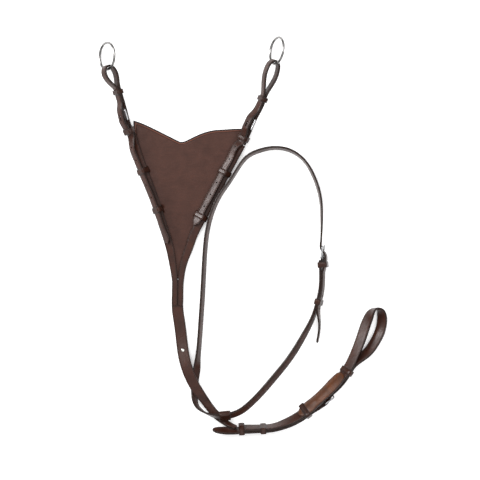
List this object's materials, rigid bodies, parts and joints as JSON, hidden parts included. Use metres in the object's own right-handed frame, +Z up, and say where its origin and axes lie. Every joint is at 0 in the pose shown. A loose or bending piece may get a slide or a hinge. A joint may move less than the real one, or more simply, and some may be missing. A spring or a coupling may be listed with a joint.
{
  "type": "bib martingale",
  "caption": "Leather horse bib martingale: forked bib with swinging rein rings, chest strap, buckled neck strap through a loop, and a girth strap with a padded guard and end loop.",
  "frame": {"origin": "middle of the whole laid-out object in X and Y, on the surface it lies on", "axes": "+Y from the girth strap towards the rein rings, +X across towards the neck strap's buckle, +Z up from the surface"},
  "size_m": [0.549, 0.7571, 0.0503],
  "materials": {
    "strap_leather": "satin dark brown",
    "bib_leather": "satin, soft grain",
    "guard_leather": "semi-gloss, reddish",
    "keeper_leather": "satin dark brown",
    "chape_leather": "satin dark brown",
    "ring_steel": "polished",
    "buckle_steel": "polished",
    "stud_steel": "polished"
  },
  "bodies": {
    "harness": {"bib_panel": "bib_leather", "chest_strap": "strap_leather", "chest_stud": "stud_steel", "girth_buckle_keeper": "keeper_leather", "girth_chape": "chape_leather", "girth_guard": "guard_leather", "girth_keeper_1": "keeper_leather", "girth_keeper_2": "keeper_leather", "girth_loop_keeper": "keeper_leather", "girth_strap": "strap_leather", "left_bib_keeper_1": "keeper_leather", "left_bib_keeper_2": "keeper_leather", "left_bib_keeper_3": "keeper_leather", "left_fork_chape": "chape_leather", "left_fork_strap": "strap_leather", "left_ring_strap": "strap_leather", "neck_loop": "keeper_leather", "right_bib_keeper_1": "keeper_leather", "right_bib_keeper_2": "keeper_leather", "right_bib_keeper_3": "keeper_leather", "right_fork_chape": "chape_leather", "right_fork_strap": "strap_leather", "right_ring_strap": "strap_leather"},
    "left_rein_ring": {"left_rein_ring": "ring_steel"},
    "left_ring_keeper": {"left_ring_keeper": "keeper_leather"},
    "left_fork_buckle": {"left_fork_buckle_frame": "buckle_steel"},
    "left_fork_tongue": {"left_fork_buckle_tongue": "buckle_steel"},
    "right_rein_ring": {"right_rein_ring": "ring_steel"},
    "right_ring_keeper": {"right_ring_keeper": "keeper_leather"},
    "right_fork_buckle": {"right_fork_buckle_frame": "buckle_steel"},
    "right_fork_tongue": {"right_fork_buckle_tongue": "buckle_steel"},
    "neck": {"neck_strap": "strap_leather", "neck_chape": "chape_leather", "neck_upper_keeper": "keeper_leather"},
    "neck_lower_keeper": {"neck_lower_keeper": "keeper_leather"},
    "neck_buckle": {"neck_buckle_frame": "buckle_steel"},
    "neck_tongue": {"neck_buckle_tongue": "buckle_steel"},
    "girth_buckle": {"girth_buckle_frame": "buckle_steel"},
    "girth_tongue": {"girth_buckle_tongue": "buckle_steel"}
  },
  "joints": [
    {"name": "left_ring_swing", "type": "hinge", "parent": "harness", "child": "left_rein_ring", "pos_m": [-0.25248, 0.31652, 0.02534], "axis": [-0.5826, -0.0995, -0.8067], "range_deg": [-50, 50]},
    {"name": "left_ring_keeper_slide", "type": "slide", "parent": "harness", "child": "left_ring_keeper", "axis": [-0.2657, 0.9607, 0.0807], "range_m": [-0.0015, 0.0015]},
    {"name": "left_fork_buckle_hinge", "type": "hinge", "parent": "harness", "child": "left_fork_buckle", "pos_m": [-0.22105, 0.22042, 0.01491], "axis": [0.6296, 0.141, 0.764], "range_deg": [0, 3]},
    {"name": "left_fork_tongue_hinge", "type": "hinge", "parent": "left_fork_buckle", "child": "left_fork_tongue", "pos_m": [-0.22105, 0.22042, 0.01491], "axis": [0.6296, 0.141, 0.764], "range_deg": [0, 10]},
    {"name": "right_ring_swing", "type": "hinge", "parent": "harness", "child": "right_rein_ring", "pos_m": [0.06209, 0.3274, 0.02199], "axis": [-0.4356, 0.2098, -0.8754], "range_deg": [-50, 50]},
    {"name": "right_ring_keeper_slide", "type": "slide", "parent": "harness", "child": "right_ring_keeper", "axis": [0.3803, 0.918, 0.1126], "range_m": [-0.0015, 0.0015]},
    {"name": "right_fork_buckle_hinge", "type": "hinge", "parent": "harness", "child": "right_fork_buckle", "pos_m": [0.01245, 0.2063, 0.01384], "axis": [0.6858, -0.3301, 0.6486], "range_deg": [0, 3]},
    {"name": "right_fork_tongue_hinge", "type": "hinge", "parent": "right_fork_buckle", "child": "right_fork_tongue", "pos_m": [0.01245, 0.2063, 0.01384], "axis": [0.6858, -0.3301, 0.6486], "range_deg": [0, 10]},
    {"name": "neck_strap_slide", "type": "slide", "parent": "harness", "child": "neck", "axis": [1, 0, 0], "range_m": [0, 0.004]},
    {"name": "neck_lower_keeper_slide", "type": "slide", "parent": "neck", "child": "neck_lower_keeper", "axis": [-0.2489, -0.9685, -0.0118], "range_m": [-0.002, 0.002]},
    {"name": "neck_buckle_hinge", "type": "hinge", "parent": "neck", "child": "neck_buckle", "pos_m": [0.15476, -0.03921, 0.01382], "axis": [0.1995, 0.0223, -0.9796], "range_deg": [0, 6]},
    {"name": "neck_tongue_hinge", "type": "hinge", "parent": "neck_buckle", "child": "neck_tongue", "pos_m": [0.15476, -0.03921, 0.01382], "axis": [0.1995, 0.0223, -0.9796], "range_deg": [0, 10]},
    {"name": "girth_buckle_hinge", "type": "hinge", "parent": "harness", "child": "girth_buckle", "pos_m": [0.1538, -0.3092, 0.01623], "axis": [-0.4926, 0.5424, -0.6806], "range_deg": [0, 6]},
    {"name": "girth_tongue_hinge", "type": "hinge", "parent": "girth_buckle", "child": "girth_tongue", "pos_m": [0.1538, -0.3092, 0.01623], "axis": [-0.4926, 0.5424, -0.6806], "range_deg": [0, 10]}
  ]
}
